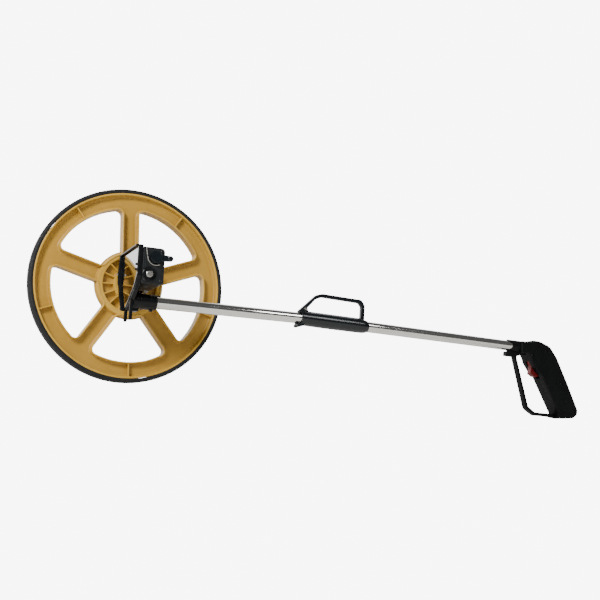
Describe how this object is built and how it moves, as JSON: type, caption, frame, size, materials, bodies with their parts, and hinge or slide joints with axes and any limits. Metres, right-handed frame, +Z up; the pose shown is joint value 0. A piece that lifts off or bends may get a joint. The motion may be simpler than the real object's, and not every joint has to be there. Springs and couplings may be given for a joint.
{
  "type": "measuring wheel",
  "caption": "Folding measuring wheel: spoked wheel of one metre round, side counter head, chromed tube with carry loop, and pistol grip with brake trigger.",
  "frame": {"origin": "centre of the wheel, on the axle's line at the middle of the tyre's width", "axes": "+X along the lower tube towards the pistol grip, +Y along the axle away from the counter, +Z up with the tube level and the carry loop on top"},
  "size_m": [1.0564, 0.1515, 0.34],
  "materials": {
    "ochre_plastic": "moulded, satin",
    "tyre_rubber": "matte rubber",
    "pad_rubber": "matte",
    "white_nylon": "satin",
    "polished_plate": "polished",
    "tube_chrome": "chromed, lightly marked",
    "zinc_steel": "zinc plated",
    "blackened_steel": "blackened",
    "black_plastic": "satin moulding",
    "charcoal_plastic": "fine grain",
    "sleeve_plastic": "glossy",
    "grip_plastic": "fine grain",
    "clear_window": "clear",
    "red_plastic": "satin"
  },
  "bodies": {
    "head": {"head_frame": "black_plastic", "face_plate": "polished_plate", "plate_stud_1": "black_plastic", "plate_stud_2": "black_plastic", "flange_pin": "zinc_steel", "axle": "zinc_steel", "axle_washer": "zinc_steel", "axle_nut": "zinc_steel", "axle_bolt": "zinc_steel", "counter_case": "charcoal_plastic", "gear_cover": "charcoal_plastic", "counter_cover": "charcoal_plastic", "counter_window": "clear_window", "drum_shaft": "zinc_steel", "idler_pin": "zinc_steel", "reset_spring": "zinc_steel", "cover_screw_1": "blackened_steel", "cover_screw_2": "blackened_steel", "cover_screw_3": "blackened_steel", "tube_socket": "black_plastic", "socket_screw": "blackened_steel", "brake_pivot": "zinc_steel", "lower_tube": "tube_chrome", "hinge_plug": "black_plastic", "hinge_pin": "blackened_steel"},
    "wheel": {"wheel_disc": "ochre_plastic", "tyre": "tyre_rubber", "hub_bush_far": "white_nylon", "hub_bush_near": "white_nylon", "drive_gear": "black_plastic"},
    "idler": {"idler_gear": "white_nylon"},
    "drum_1": {"counter_gear": "white_nylon", "digit_drum_1": "white_nylon"},
    "drum_2": {"digit_drum_2": "white_nylon"},
    "drum_3": {"digit_drum_3": "white_nylon"},
    "drum_4": {"digit_drum_4": "white_nylon"},
    "drum_5": {"digit_drum_5": "white_nylon"},
    "reset": {"reset_lever": "sleeve_plastic"},
    "brake": {"brake_crank": "zinc_steel", "brake_pad": "pad_rubber"},
    "lower_cable": {"brake_cable_lower": "zinc_steel"},
    "handle": {"carry_sleeve": "sleeve_plastic", "sleeve_screw": "blackened_steel", "upper_tube": "tube_chrome", "grip_near": "grip_plastic", "grip_far": "grip_plastic", "grip_screw_1": "blackened_steel", "grip_screw_2": "blackened_steel", "grip_screw_3": "blackened_steel", "grip_screw_4": "blackened_steel", "trigger_pin": "zinc_steel"},
    "lock": {"lock_button": "zinc_steel"},
    "trigger": {"trigger": "red_plastic"},
    "upper_cable": {"brake_cable_upper": "zinc_steel"}
  },
  "joints": [
    {"name": "wheel_spin", "type": "hinge", "parent": "head", "child": "wheel", "pos_m": [0, 0, 0], "axis": [0, 1, 0], "continuous": true},
    {"name": "idler_spin", "type": "hinge", "parent": "head", "child": "idler", "pos_m": [0.004, -0.0256, 0.013], "axis": [0, 1, 0], "continuous": true},
    {"name": "drum_1_turn", "type": "hinge", "parent": "head", "child": "drum_1", "pos_m": [0.008, -0.0495, 0.026], "axis": [0, 1, 0], "continuous": true},
    {"name": "drum_2_turn", "type": "hinge", "parent": "head", "child": "drum_2", "pos_m": [0.008, -0.0635, 0.026], "axis": [0, 1, 0], "continuous": true},
    {"name": "drum_3_turn", "type": "hinge", "parent": "head", "child": "drum_3", "pos_m": [0.008, -0.0775, 0.026], "axis": [0, 1, 0], "continuous": true},
    {"name": "drum_4_turn", "type": "hinge", "parent": "head", "child": "drum_4", "pos_m": [0.008, -0.0915, 0.026], "axis": [0, 1, 0], "continuous": true},
    {"name": "drum_5_turn", "type": "hinge", "parent": "head", "child": "drum_5", "pos_m": [0.008, -0.1055, 0.026], "axis": [0, 1, 0], "continuous": true},
    {"name": "reset_turn", "type": "hinge", "parent": "head", "child": "reset", "pos_m": [0.008, -0.123, 0.026], "axis": [0, 1, 0], "range_deg": [0, 40], "stiffness_Nm_per_rad": 0.05, "springref_deg": -5.73},
    {"name": "fold", "type": "hinge", "parent": "head", "child": "handle", "pos_m": [0.276, -0.067, -0.0476], "axis": [0, 1, 0], "range_deg": [0, 170]},
    {"name": "lock_press", "type": "slide", "parent": "handle", "child": "lock", "axis": [0, 1, 0], "range_m": [0, 0.0025], "stiffness_N_per_m": 400, "springref_m": -0.002},
    {"name": "trigger_squeeze", "type": "hinge", "parent": "handle", "child": "trigger", "pos_m": [0.79833, -0.067, -0.03999], "axis": [0, -1, 0], "range_deg": [0, 12], "stiffness_Nm_per_rad": 0.4, "springref_deg": -11.46},
    {"name": "upper_cable_pull", "type": "slide", "parent": "handle", "child": "upper_cable", "axis": [0.9997, 0, -0.0239], "range_m": [0, 0.002]},
    {"name": "lower_cable_pull", "type": "slide", "parent": "head", "child": "lower_cable", "axis": [1, 0, 0], "range_m": [0, 0.002]},
    {"name": "brake_swing", "type": "hinge", "parent": "head", "child": "brake", "pos_m": [0.003, -0.03, -0.019], "axis": [0, 0, 1], "range_deg": [0, 3]}
  ],
  "couplings": [
    {"joint": "idler_spin", "follows": "wheel_spin", "ratio": -1.6667},
    {"joint": "drum_1_turn", "follows": "wheel_spin", "ratio": 1},
    {"joint": "drum_2_turn", "follows": "wheel_spin", "ratio": 0.1},
    {"joint": "drum_3_turn", "follows": "wheel_spin", "ratio": 0.01},
    {"joint": "drum_4_turn", "follows": "wheel_spin", "ratio": 0.001},
    {"joint": "drum_5_turn", "follows": "wheel_spin", "ratio": 0.0001},
    {"joint": "upper_cable_pull", "follows": "trigger_squeeze", "m_per_rad": 0.007},
    {"joint": "lower_cable_pull", "follows": "trigger_squeeze", "m_per_rad": 0.007},
    {"joint": "brake_swing", "follows": "trigger_squeeze", "ratio": 0.18919}
  ]
}
